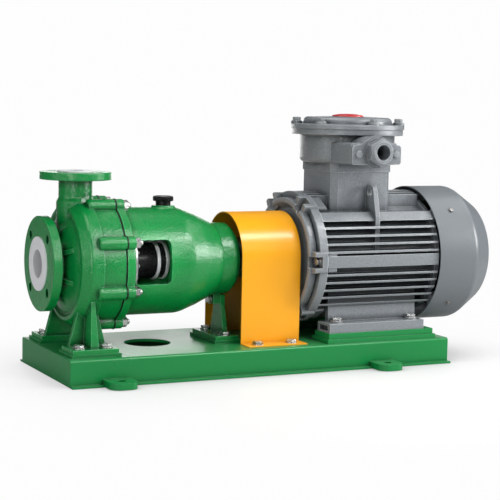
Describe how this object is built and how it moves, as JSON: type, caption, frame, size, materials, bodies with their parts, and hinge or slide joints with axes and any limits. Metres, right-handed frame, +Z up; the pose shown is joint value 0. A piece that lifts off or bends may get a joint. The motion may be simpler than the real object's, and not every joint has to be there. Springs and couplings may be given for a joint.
{
  "type": "fluoroplastic lined centrifugal pump set",
  "caption": "Lined end-suction centrifugal pump with bearing bracket, guarded jaw coupling and flameproof motor on a common base frame; moves corrosive liquids.",
  "frame": {"origin": "middle of the four anchor bolt holes, on the floor", "axes": "+X along the shafts from the suction flange to the motor, +Z up"},
  "size_m": [0.975, 0.399, 0.5155],
  "materials": {
    "green_enamel": "semi-gloss enamel over cast iron and folded steel",
    "grey_enamel": "semi-gloss enamel over cast iron",
    "guard_enamel": "gloss enamel on sheet steel",
    "fluoroplastic": "moulded fluoroplastic, satin",
    "black_rubber": "moulded rubber",
    "machined_steel": "turned",
    "electrical_steel": "stacked sheet",
    "winding_varnish": "varnished winding",
    "seal_black": "filled fluoroplastic, satin",
    "ceramic_white": "lapped ceramic",
    "polished_steel": "polished",
    "dull_steel": "turned, oiled",
    "zinc_steel": "zinc plated",
    "black_plastic": "moulded",
    "red_enamel": "gloss enamel",
    "brass": "turned"
  },
  "bodies": {
    "skid": {"base_frame": "green_enamel", "pump_casing": "green_enamel", "bearing_bracket": "green_enamel", "bearing_end_cover": "green_enamel", "support_foot": "green_enamel", "motor_frame": "grey_enamel", "drive_end_shield": "grey_enamel", "rear_end_shield": "grey_enamel", "fan_cowl": "grey_enamel", "terminal_box": "grey_enamel", "terminal_box_lid": "grey_enamel", "cable_gland": "grey_enamel", "coupling_guard": "guard_enamel", "casing_liner": "fluoroplastic", "rear_cover_liner": "fluoroplastic", "casing_gasket": "black_rubber", "oil_seals": "black_rubber", "rear_cover": "machined_steel", "stator_core": "electrical_steel", "stator_windings": "winding_varnish", "seal_gland": "seal_black", "seal_stationary_ring": "ceramic_white", "pump_bearing_outer_rings": "polished_steel", "pump_bearing_balls": "polished_steel", "motor_bearing_outer_rings": "polished_steel", "motor_bearing_balls": "polished_steel", "lid_disc": "red_enamel", "terminal_block": "black_plastic", "terminal_studs": "brass", "gland_screws": "zinc_steel", "end_cover_screws": "zinc_steel", "casing_studs": "zinc_steel", "casing_nuts": "zinc_steel", "pump_foot_bolts": "zinc_steel", "support_bolts": "zinc_steel", "guard_bolts": "zinc_steel", "motor_foot_bolts": "zinc_steel", "end_shield_bolts": "zinc_steel", "cowl_screws": "zinc_steel", "lid_bolts": "grey_enamel", "gland_bolts": "grey_enamel"},
    "pump_rotor": {"pump_shaft": "machined_steel", "shaft_sleeve": "machined_steel", "impeller": "fluoroplastic", "impeller_insert": "machined_steel", "seal_rotary_body": "seal_black", "seal_clamp_rings": "polished_steel", "seal_drive_band": "dull_steel", "pump_bearing_inner_rings": "polished_steel", "bearing_locknut": "machined_steel", "coupling_hub_pump": "dull_steel", "coupling_spider": "black_rubber", "pump_key": "machined_steel"},
    "motor_rotor": {"motor_shaft": "machined_steel", "motor_key": "machined_steel", "rotor_core": "electrical_steel", "motor_bearing_inner_rings": "polished_steel", "cooling_fan": "black_plastic", "coupling_hub_motor": "dull_steel"},
    "filler_cap": {"oil_filler_cap": "black_plastic"}
  },
  "joints": [
    {"name": "motor_spin", "type": "hinge", "parent": "skid", "child": "motor_rotor", "pos_m": [0.1665, 0, 0.218], "axis": [1, 0, 0], "continuous": true},
    {"name": "pump_spin", "type": "hinge", "parent": "skid", "child": "pump_rotor", "pos_m": [-0.3235, 0, 0.218], "axis": [1, 0, 0], "continuous": true},
    {"name": "filler_cap_lift", "type": "slide", "parent": "skid", "child": "filler_cap", "axis": [0, 0, 1], "range_m": [0, 0.04]}
  ],
  "couplings": [
    {"joint": "pump_spin", "follows": "motor_spin", "ratio": 1}
  ]
}
